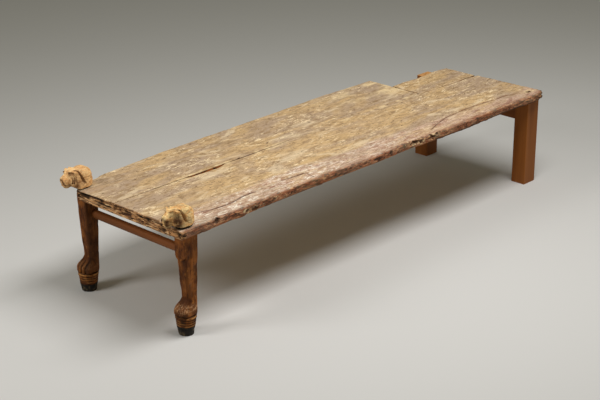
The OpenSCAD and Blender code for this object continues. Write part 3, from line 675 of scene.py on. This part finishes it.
def rounded(front, back, half, r, n):
    """A rounded rectangle from front to back and half to each side, as n even points."""
    a = np.linspace(0, 2 * np.pi, 240, endpoint=False) + 0.001
    x = np.where(np.cos(a) > 0, back - r, front + r) + r * np.cos(a)
    y = np.sign(np.sin(a)) * (half - r) + r * np.sin(a)
    closed = np.stack([np.append(x, x[0]), np.append(y, y[0])])
    way = np.concatenate([[0], np.cumsum(np.linalg.norm(np.diff(closed), axis=0))])
    at = np.linspace(0, way[-1], n, endpoint=False)
    return np.stack([np.interp(at, way, c) for c in closed], 1)


# The drum's turned outline: height and radius, and the heights of its grooves and bands
DRUM = [(0, 27.5), (1.5, 29), (14, 31), (26, 33), (27.2, 31.4), (28.5, 34.4), (34, 34.8),
        (36, 33.2), (38, 35.6), (44, 36), (46, 34.4), (48, 36.8), (54, 37.2), (56, 35.6),
        (58, 37.8), (64, 38.2), (65.5, 36.8), (67, 40), (74.5, 40), (76, 38.8)]
RIB_LINES, BANDS = np.array([27.2, 36, 46, 56, 65.5]), np.array([41, 51, 60.5])


def leg_rings(n):
    """Rings of a leg from the floor up, round its drum and then its paw and shaft."""
    circle, drum, table = rounded(-1, 1, 1, 1, n), np.array(DRUM), np.array(LEG, float)
    turned = np.unique(np.concatenate([np.arange(2, DRUM_TOP, 1.2), drum[:, 0]]))
    carved = np.concatenate([[DRUM_TOP + 0.3], np.arange(77.5, ANKLE, 1.5),
                             np.arange(ANKLE, LEG_TOP, 3.0), [LEG_TOP + 0.6]])
    rings = [circle * 12] + [circle * np.interp(z, drum[:, 0], drum[:, 1]) for z in turned]
    for z in carved:
        row = [eased(table[:, (0, c)], np.clip(z, DRUM_TOP + 0.3, LEG_TOP),
                     3.0 if z < ANKLE else 9.0) for c in range(1, 5)]
        rings.append(rounded(*row, n))
    heights = np.concatenate([[0], turned, carved])
    return np.dstack([rings, np.repeat(heights[:, None], n, 1)])


# The far leg's carving is crisp and the near leg's is worn: how deep the toes are cut and the
# knuckles and dents stand, which way the splits go, how dark the painted shade on the arris,
# how pale the paw, how much painted shade one side of the leg takes and which side
CRISP = dict(cut=1, knuckle=2.2, dent=1.0, way=1, arris_shade=1, paw=0.2, grime_and_shade=0.7, shaded_side=1)
BLUNT = dict(cut=0.35, knuckle=0.6, dent=2.0, way=-1, arris_shade=0.4, paw=0.75, grime_and_shade=0.3, shaded_side=0)


def make_leg(node, carving, base_top, seed, material, facing):
    """A leg, with its top let in behind a facing if it has one."""
    low, high = box_mm(node)
    axis_x, axis_y = low[0] + DRUM_R, (low[1] + high[1]) / 2
    p = leg_rings(144)
    normal = normals_of(p)
    normal[:2] = (0, 0, -1)
    x, y, z = np.moveaxis(p, -1, 0)
    drum = fall(75, 77, z)
    # Toes: rounded fingers over the front of the paw, with knuckles below the ankle
    paw = step(75.5, 78, z) * fall(116, 134, z)
    forward = np.clip(-normal[..., 0] + 0.35, 0, 1) ** 0.6
    across = np.abs(np.sin(np.pi * np.clip(y + 3, -36, 36) / 19))
    cut = paw * forward * (1 - across ** 0.55) * carving["cut"]
    deep = 4.5 + 5.5 * fall(78, 102, z)
    knuckle = bump(z, 106, 11) * across * carving["knuckle"]
    out = paw * forward * (0.4 + 0.8 * across + knuckle) - deep * cut
    # A recess where the paw stands on the drum
    seat = bump(z, 78.0, 2.2)
    out = out - (2.6 + 1.5 * noise(p, (20, 20, 9), seed + 5)) * seat
    # Worn and knocked skin
    out = out + 0.8 * layered(p, (22, 22, 40), seed) * (1 - 0.7 * drum)
    out = out + 0.3 * noise(p, (4, 4, 40), seed + 2)
    dents = step(0.35, 0.75, noise(p, (14, 14, 22), seed + 4))
    out = out - carving["dent"] * dents
    # Drying splits along the shaft
    split = 0
    for at, start, stop, s in ((6, 150, 330, 6), (-9, 210, 390, 7), (15, 120, 260, 9)):
        line = at + 3 * noise(p, (9, 9, 40), seed + s)
        front = bump(y, line * carving["way"], 0.8) * (normal[..., 0] < -0.6)
        outer = bump(x, line + 18, 0.8) * (normal[..., 1] < -0.6)
        split = np.maximum(split, np.maximum(front, outer) * step(start, start + 40, z) *
                           fall(stop - 40, stop, z))
    out = (out - 2.2 * split) * step(0, 3, z) * fall(LEG_TOP - 3, LEG_TOP, z)
    # Painted shade in the grooves round the drum, and painted highlight on the paler bands
    # between them
    uneven = 1.1 * noise(p, (26, 26, 90), seed + 12)
    ribs = np.exp(-((z[..., None] - RIB_LINES + uneven[..., None]) / 1.5) ** 2).max(-1)
    ribs = ribs * step(-0.6, 0.2, noise(p, (18, 18, 14), seed + 13))
    # Painted shade in the toe cuts, the splits, the drum's grooves, the seat under the paw and
    # the dents
    dark = np.clip(cut * 1.4, 0, 1) * 0.95
    dark = np.maximum.reduce([dark, 0.5 * split, ribs, seat, dents * 0.5])
    moved = p + normal * out[..., None]
    if facing:
        flat_low, flat_high = box_mm(facing)
        back = flat_high[0] - axis_x
        edge = np.sqrt(np.maximum(24.0 ** 2 - np.maximum(flat_low[2] + 24 - z, 0) ** 2, 0))
        held = (np.abs(y) <= edge + 0.4) & (z > flat_low[2]) & (normal[..., 0] < 0.2)
        moved[..., 0] += np.where(held, np.maximum(back + 0.3 - x, 0), 0)
    worn = (1 - drum) * step(0.0, 0.5, layered(p, (26, 26, 80), seed + 8))
    # Light falls on the outer side; the arris beside it is painted in shade
    arris_shade = (1 - drum) * bump(x, x.min(1, keepdims=True) + 6, 9) * \
        bump(y, y.min(1, keepdims=True) + 6, 10) * carving["arris_shade"]
    black = fall(-0.8, 0.8, z - (base_top + 1.5 * noise(p, (16, 16, 60), seed + 14)))
    # Painted highlight on the top of the drum's rim and on the bands between its grooves
    rim = bump(z, 73.5, 2.6) * step(-0.5, 0.3, noise(p, (14, 14, 9), seed + 15))
    bands = np.exp(-((z[..., None] + uneven[..., None] - BANDS) / 2.6) ** 2).max(-1)
    rim = np.maximum(rim, 0.45 * bands * step(-0.5, 0.5, noise(p, (16, 16, 6), seed + 17)))
    # Grime on the drum, and painted shade on one side of the leg
    grime_and_shade = drum * (0.4 + 0.5 * layered(p, (20, 20, 9), seed + 16))
    grime_and_shade = np.maximum(grime_and_shade, (1 - drum) * carving["grime_and_shade"] * step(
        0.3, 0.8, -normal[..., carving["shaded_side"]]))
    masks = dict(dark=dark, worn=worn, black=black, arris_shade=arris_shade, rim=rim, grime_and_shade=grime_and_shade,
                 paw=paw * carving["paw"] * bump(z, 108, 15))
    limits = (low[0], low[1], 0), (FREE, high[1], FREE)
    add_piece(node + "_carving", moved + (axis_x, axis_y, 0), limits, masks, material,
              "leg_wood", node)


def make_batten(material):
    """The old thin batten under the head end, eaten along its edges."""
    low, high = box_mm("head_batten")
    mid, half = (low + high) / 2, (high - low) / 2
    ys = np.linspace(low[1] + 0.5, high[1] - 0.5, 150)[:, None]
    ring = rounded(-half[0], half[0], half[2], 2.0, 60)
    p = np.stack(np.broadcast_arrays(ring[:, 0] + mid[0], ys, ring[:, 1] + mid[2]), 2)
    normal = normals_of(p)
    normal = normal * np.sign((normal[75, :, 0] * (p[75, :, 0] - mid[0])).sum())
    chips = layered(p, (14, 22, 9), 91)
    out = -0.2 - 2.6 * step(0.1, 0.6, chips) * np.abs(normal[..., 0]) \
        + 0.3 * noise(p, (8, 30, 5), 92)
    masks = dict(dark=step(0.1, 0.5, chips) * 0.7, end=0.9 + 0 * chips)
    add_piece("head_batten_wood", p + normal * np.minimum(out, 0)[..., None], (-FREE, FREE),
              masks, material, "batten_wood", "head_batten")


# ---- Materials ----

def linear(r, g, b):
    """A colour from 0 to 255 as the shader takes it."""
    return tuple(((c / 255 + 0.055) / 1.055) ** 2.4 if c > 10 else c / 255 / 12.92
                 for c in (r, g, b)) + (1.0,)


class Look:
    """A node material under construction."""

    def __init__(self, name, rough, specular):
        self.material = bpy.data.materials.new(name)
        self.material.use_nodes = True
        self.tree = self.material.node_tree
        self.shader = self.tree.nodes["Principled BSDF"]
        self.feed(rough, self.shader.inputs["Roughness"])
        self.feed(specular, self.shader.inputs["Specular IOR Level"])
        self.place = self.add("ShaderNodeTexCoord", "Object", {})

    def feed(self, value, socket):
        """Gives a socket a number, a list, a colour from 0 to 255, or another's result."""
        if isinstance(value, bpy.types.NodeSocket):
            self.tree.links.new(value, socket)
        else:
            socket.default_value = linear(*value) if isinstance(value, tuple) else value

    def add(self, kind, output, sockets, **values):
        """Makes a node, sets its values and feeds its sockets. Returns one of its outputs."""
        node = self.tree.nodes.new(kind)
        for key, value in values.items():
            setattr(node, key, value)
        for key, value in sockets.items():
            self.feed(value, node.inputs[key])
        return node.outputs[output]

    def noise(self, scale, detail, rough, turn=0.0, distort=0.0):
        """Noise whose grains measure 1 / scale metres along each axis."""
        place = self.add("ShaderNodeMapping", "Vector", {
            "Vector": self.place, "Scale": list(scale), "Rotation": [0, 0, turn]})
        return self.add("ShaderNodeTexNoise", "Fac", {
            "Vector": place, "Scale": 1.0, "Detail": detail, "Roughness": rough,
            "Distortion": distort})

    def span(self, value, a, b, low=0.0, high=1.0):
        """Eases from low to high while the value goes from a to b."""
        return self.add("ShaderNodeMapRange", "Result", {
            "Value": value, "From Min": a, "From Max": b, "To Min": low, "To Max": high},
            interpolation_type="SMOOTHSTEP")

    def math(self, kind, a, b):
        return self.add("ShaderNodeMath", 0, {0: a, 1: b}, operation=kind)

    def times(self, a, b):
        return self.math("MULTIPLY", a, b)

    def mask(self, name, share=1):
        """A mask from the piece's points, times share."""
        fac = self.add("ShaderNodeAttribute", "Fac", {}, attribute_name=name)
        return fac if share == 1 else self.times(fac, share)

    def height(self):
        """How high above the floor a point lies, in metres."""
        return self.add("ShaderNodeSeparateXYZ", "Z", {0: self.place})

    def mix(self, share, a, b):
        """The colour a, with b over it where share says."""
        return self.add("ShaderNodeMix", "Result", {"Factor": share, "A": a, "B": b},
                        data_type="RGBA")

    def over(self, colour, *coats):
        """A colour with coats laid over it in turn: for each its share and its tint."""
        for share, tint in coats:
            colour = self.mix(share, colour, tint)
        return colour

    def bumps(self, height, strength, distance):
        return self.add("ShaderNodeBump", "Normal", {
            "Strength": strength, "Distance": distance, "Height": height})

    def finish(self, colour, normal=None, rough=None):
        for key, value in (("Base Color", colour), ("Normal", normal), ("Roughness", rough)):
            if value is not None:
                self.feed(value, self.shader.inputs[key])
        return self.material


def plank_look():
    """Old planks: mottled brown and grey with pale flecks, a pinkish strip, torn edges."""
    k = Look("weathered_planks", 0.8, 0.2)
    turn = math.radians(-7)
    broad = k.noise((2.6, 7, 5), 5, 0.62, turn, 0.6)
    mottle = k.noise((18, 46, 30), 6, 0.72, turn, 0.6)
    small = k.noise((46, 120, 60), 5, 0.75, turn, 0.5)
    streak = k.noise((13, 80, 40), 6, 0.68, turn, 0.5)
    fine = k.noise((70, 260, 120), 4, 0.7, turn)
    zone = k.span(k.noise((4, 9, 9), 4, 0.6, turn, 0.5), 0.42, 0.58, 0.15, 1)
    dust = k.noise((24, 70, 40), 6, 0.82, turn, 0.6)
    pale = k.noise((5, 14, 9), 5, 0.65, turn, 0.8)
    speck = k.noise((60, 130, 80), 3, 0.6)
    wood = k.over(
        k.mix(k.span(broad, 0.40, 0.58), (179, 153, 127), (203, 169, 122)),
        (k.span(mottle, 0.38, 0.52, 0.85, 0), (158, 129, 94)),
        (k.span(small, 0.36, 0.46, 0.75, 0), (140, 108, 76)),
        (k.span(streak, 0.53, 0.63, 0, 0.45), (126, 96, 64)),
        (k.times(k.span(dust, 0.54, 0.59), zone), (244, 218, 176)),
        (k.span(pale, 0.54, 0.68, 0, 0.75), (222, 198, 162)),
        (k.span(speck, 0.62, 0.70, 0, 0.9), (84, 58, 38)))
    # Pinkish strip along the near edge, with white remains
    along = k.noise((16, 110, 60), 6, 0.72, math.radians(-1), 0.3)
    white = k.span(k.noise((24, 62, 40), 6, 0.84, turn, 0.9), 0.52, 0.56)
    pink = k.over(
        k.mix(k.span(mottle, 0.38, 0.56), (172, 138, 122), (210, 178, 154)),
        (k.span(small, 0.40, 0.50, 0.9, 0), (142, 100, 78)),
        (k.span(along, 0.52, 0.60, 0, 0.75), (140, 90, 70)),
        (k.times(white, k.mask("white")), (250, 238, 218)))
    patchy = k.span(k.noise((10, 34, 20), 5, 0.72, turn, 0.5), 0.42, 0.58, 0.4, 0.9)
    # Torn side: rust brown and straw coloured streaks along it, with dark holes
    streaks = k.noise((24, 90, 150), 6, 0.75, 0, 0.4)
    holes = k.noise((36, 90, 130), 5, 0.78, 0, 0.4)
    side = k.over(
        k.mix(k.span(streaks, 0.40, 0.52), (78, 42, 26), (158, 94, 62)),
        (k.span(streaks, 0.55, 0.62), (222, 174, 126)),
        (k.span(k.height(), (UNDER + 3) * MM, (UNDER + 12) * MM, 0.55, 0), (190, 112, 62)),
        (k.span(holes, 0.52, 0.56, 0, 0.95), (30, 18, 12)))
    layers = k.noise((40, 26, 190), 5, 0.72, 0, 0.6)
    end = k.mix(k.span(layers, 0.43, 0.54), (58, 32, 17), (208, 152, 98))
    end = k.mix(k.span(layers, 0.56, 0.63), end, (250, 210, 158))
    # Painted shade on the faces within the seams
    seam = k.mix(k.span(mottle, 0.40, 0.56), (62, 34, 18), (128, 80, 46))
    torn = k.mix(k.span(k.noise((30, 60, 90), 5, 0.7), 0.43, 0.53), (36, 18, 8), (186, 110, 48))
    # Near black for the dark mask: painted shade in the mortises and under the near edge by the
    # foot end, with the cracks, splits and breaks
    black = k.mix(k.span(k.mask("dark"), 0.8, 1), (40, 22, 12), (14, 8, 5))
    colour = k.over(
        wood, (k.times(k.mask("strip"), patchy), pink), (k.mask("rim", 0.95), side),
        (k.times(k.mask("pale"), k.span(dust, 0.42, 0.54, 0.25, 1)), (236, 208, 160)),
        (k.mask("end"), end), (k.mask("seam"), seam), (k.mask("torn"), torn),
        (k.times(k.mask("rust"), k.span(mottle, 0.4, 0.6, 0.9, 0.2)), (128, 70, 44)),
        (k.mask("dark", 0.94), black))
    height = k.math("ADD", k.times(streak, 0.7), k.times(fine, 0.4))
    height = k.math("ADD", height, k.times(mottle, 0.6))
    return k.finish(colour, k.bumps(height, 0.5, 0.002), k.span(streak, 0.2, 0.8, 0.9, 0.7))


def head_look(name, light, mid, deep, shaded, hollow_shading, fine):
    """Carved wood: pale where it is raised, with painted shade in the cuts and hollows, and a
    painted black shadow in the open joint.
    """
    k = Look(name, 0.75, 0.2)
    grain = k.noise((50, 170, 170), 5, 0.65, 0, 0.4)
    broad = k.noise((30, 40, 40), 4, 0.65, 0, 0.5)
    streak = k.noise((90 * fine, 60 * fine, 260 * fine), 5, 0.72, 0.5, 0.5)
    crest = k.noise((110 * fine, 70 * fine, 160 * fine), 5, 0.7)
    # Dark streaks of grain, stronger where the shade is painted
    cut = k.times(k.span(streak, 0.53, 0.59), k.span(
        k.mask("shade"), 0, 1, 0.24 * shaded + 0.06, 0.9))
    colour = k.over(
        k.mix(k.span(broad, 0.40, 0.60), mid, light),
        (k.span(grain, 0.50, 0.66, 0, 0.55), deep),
        (k.span(crest, 0.54, 0.60, 0, 0.85), (252, 218, 160)),
        # Painted shade in the hollows, on the cheek, throat and muzzle and along the carved
        # lines, and painted black shadow in the joint
        (k.times(k.span(k.mask("hollow"), 0.17, 0.64), hollow_shading), deep),
        (k.mask("shade", shaded), deep), (cut, deep),
        (k.mask("dark", 0.92), k.mix(0.6, deep, (24, 12, 6))), (k.mask("gap"), (10, 6, 4)))
    return k.finish(colour, k.bumps(k.math("ADD", grain, streak), 0.7, 0.002))


def leg_look():
    """Old polished timber: orange brown, with painted shade in the hollows, on the arris and on
    one side, a painted highlight on the drum's bands, and a black base to the drums.
    """
    k = Look("old_leg_wood", 0.6, 0.14)
    grain = k.noise((130, 130, 9), 6, 0.62, 0, 0.15)
    broad = k.noise((20, 20, 14), 5, 0.6, 0, 0.2)
    patch = k.noise((60, 60, 30), 5, 0.68, 0, 0.2)
    spots = k.noise((90, 90, 70), 4, 0.65)
    flecks = k.span(k.noise((130, 130, 110), 5, 0.75, 0, 0.5), 0.50, 0.58, 0, 0.85)
    soot = k.mix(k.span(patch, 0.5, 0.64), (36, 32, 27), (92, 78, 58))
    colour = k.over(
        k.mix(k.span(broad, 0.40, 0.60), (84, 42, 11), (140, 80, 27)),
        (k.span(grain, 0.46, 0.68, 0, 0.32), (58, 29, 8)),
        (k.span(patch, 0.56, 0.66, 0, 0.55), (178, 112, 50)),
        # Wear, painted shade on the arris, then grime with painted shade on one side
        (k.mask("worn", 0.3), (168, 104, 44)), (k.mask("arris_shade", 0.7), (48, 24, 8)),
        (k.mask("grime_and_shade", 0.75), (72, 42, 20)), (k.span(spots, 0.60, 0.68, 0, 0.8), (40, 22, 12)),
        (k.mask("paw", 0.4), (150, 96, 60)), (k.mask("paw", flecks), (214, 168, 124)),
        # Painted highlight on the drum's rim and bands, painted shade in the cuts and grooves
        (k.mask("rim", 0.75), (214, 154, 88)), (k.mask("dark", 0.95), (24, 12, 5)),
        (k.mask("black"), soot))
    height = k.math("ADD", grain, k.times(spots, 0.5))
    return k.finish(colour, k.bumps(height, 0.4, 0.0014), k.span(broad, 0.3, 0.7, 0.66, 0.5))


def wood_look(name, light, deep, along, rough, specular, end_grain):
    """Plain timber with its grain along one axis. At the height end_grain it shows a paler
    sawn end with a painted sheen, and a little higher an old dark one."""
    k = Look(name, rough, specular)
    grain = k.noise([5 if a == along else 90 for a in range(3)], 6, 0.6, 0, 0.4)
    broad = k.noise([1.5 if a == along else 26 for a in range(3)], 3, 0.5)
    colour = k.mix(k.span(broad, 0.3, 0.7), deep, light)
    colour = k.mix(k.span(grain, 0.45, 0.75, 0, 0.35), colour, deep)
    if end_grain:
        # Paler sawn end, partly a painted sheen on the top
        sawn_end_and_sheen = k.mix(k.span(grain, 0.4, 0.7), (214, 158, 98), (170, 116, 64))
        colour = k.over(
            colour, (k.span(k.height(), end_grain - 0.002, end_grain), sawn_end_and_sheen),
            (k.span(k.height(), end_grain + 0.006, end_grain + 0.008), (78, 46, 24)))
    return k.finish(colour, k.bumps(grain, 0.15, 0.0006))


def steel_look():
    """Plain screws: dull steel with brighter rubs and brown stains."""
    k = Look("screw_steel", 0.4, 0.5)
    k.shader.inputs["Metallic"].default_value = 0.85
    wear = k.noise((400, 400, 90), 4, 0.6)
    stain = k.noise((150, 150, 150), 4, 0.65)
    colour = k.mix(k.span(wear, 0.35, 0.65), (126, 122, 116), (176, 172, 164))
    colour = k.mix(k.span(stain, 0.58, 0.7, 0, 0.7), colour, (110, 74, 48))
    return k.finish(colour, k.bumps(wear, 0.2, 0.0004), k.span(stain, 0.4, 0.7, 0.32, 0.6))


def dress(material, *nodes):
    """Gives CAD nodes their material."""
    for node in nodes:
        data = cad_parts[node].data
        data.materials.clear()
        data.materials.append(material)


def ease_edges(*nodes):
    """Takes the sharpness off sawn edges."""
    for node in nodes:
        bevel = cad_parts[node].modifiers.new("eased_edges", "BEVEL")
        bevel.width, bevel.segments = 1.2 * MM, 2
        bevel.limit_method, bevel.angle_limit = "ANGLE", math.radians(40)


# ---- Stage ----

SKY_COLOUR, SKY_STRENGTH = (1, 0.97, 0.76, 1), 0.17


def make_stage():
    """The floor, the plain sky and two soft lamps."""
    scene = bpy.context.scene
    scene.view_settings.view_transform = "Standard"
    world = bpy.data.worlds.new("studio")
    scene.world = world
    world.use_nodes = True
    sky = world.node_tree.nodes["Background"].inputs
    sky["Color"].default_value, sky["Strength"].default_value = SKY_COLOUR, SKY_STRENGTH
    floor = bpy.data.meshes.new("floor")
    near, far = -14.0, 18.0
    floor.from_pydata([(near, near, 0), (-near, near, 0), (-near, far, 0), (near, far, 0)],
                      [], [(0, 1, 2, 3)])
    floor.materials.append(Look("studio_floor", 0.9, 0.1).finish((211, 209, 206)))
    obj = new_object("floor", floor)
    lamp("key_lamp", (0.15, -1.1, 3.1), towards=(0.05, 0.0, 0.2), size=(2.4, 1.2), watts=83)
    lamp("left_lamp", (-3.4, 0.9, 2.4), towards=(-0.6, 0.0, 0.2), size=(1.2, 1.2), watts=44)


def lamp(name, at, towards, size, watts):
    """A rectangular lamp that looks towards a point."""
    data = bpy.data.lights.new(name, "AREA")
    data.shape = "RECTANGLE"
    data.size, data.size_y = size
    data.energy = watts
    obj = new_object(name, data)
    obj.location = at
    obj.rotation_mode = "QUATERNION"
    obj.rotation_quaternion = (Vector(towards) - Vector(at)).to_track_quat("-Z", "Y")


make_camera()
make_stage()
planks = plank_look()
make_near_plank(planks)
make_far_plank(planks)
make_foot_plank(planks)
far_head = head_look("far_head_wood", (250, 202, 140), (232, 175, 114), (112, 66, 36),
                     shaded=0.45, hollow_shading=0.66, fine=1.0)
near_head = head_look("near_head_wood", (255, 219, 154), (252, 188, 116), (72, 36, 12),
                      shaded=0.92, hollow_shading=0.42, fine=0.5)
make_head("far_lion_head", worn=0.35, joint_h=4.2, seed=5, material=far_head,
          slot="far_head_wood")
make_head("near_lion_head", worn=1.0, joint_h=8.5, seed=9, material=near_head,
          slot="near_head_wood")
legs = leg_look()
make_leg("near_lion_leg", BLUNT, base_top=36, seed=3, material=legs, facing="near_leg_facing")
make_leg("far_lion_leg", CRISP, base_top=33, seed=8, material=legs, facing=None)
make_batten(planks)
dress(legs, "near_leg_facing")
dress(steel_look(), "rail_screws")
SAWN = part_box("far_rear_post")[1][2]
# Name, light and deep colour, axis of the grain, roughness, specular, end grain, nodes
for *look, nodes in (
        ("post_wood", (150, 90, 38), (128, 73, 29), 2, 0.5, 0.16, SAWN,
         ["near_rear_post", "far_rear_post"]),
        ("cross_rail_wood", (130, 76, 36), (104, 60, 27), 1, 0.5, 0.16, None,
         ["front_rail", "rear_cross_rail", "rear_bearer"]),
        ("side_rail_wood", (132, 76, 32), (108, 60, 24), 0, 0.5, 0.16, None,
         ["near_side_rail", "far_side_rail"]),
        ("tenon_wood", (150, 104, 60), (112, 72, 40), 1, 0.7, 0.15, None,
         ["seam_tenons", "foot_plank_tenons", "plank_end_tenon"]),
        ("peg_wood", (166, 122, 76), (124, 84, 48), 2, 0.7, 0.15, None,
         ["seam_tenon_pegs", "foot_plank_tenon_pegs", "head_pins", "batten_pegs"])):
    dress(wood_look(*look), *nodes)
ease_edges("near_rear_post", "far_rear_post", "rear_cross_rail", "rear_bearer",
           "near_side_rail", "far_side_rail")
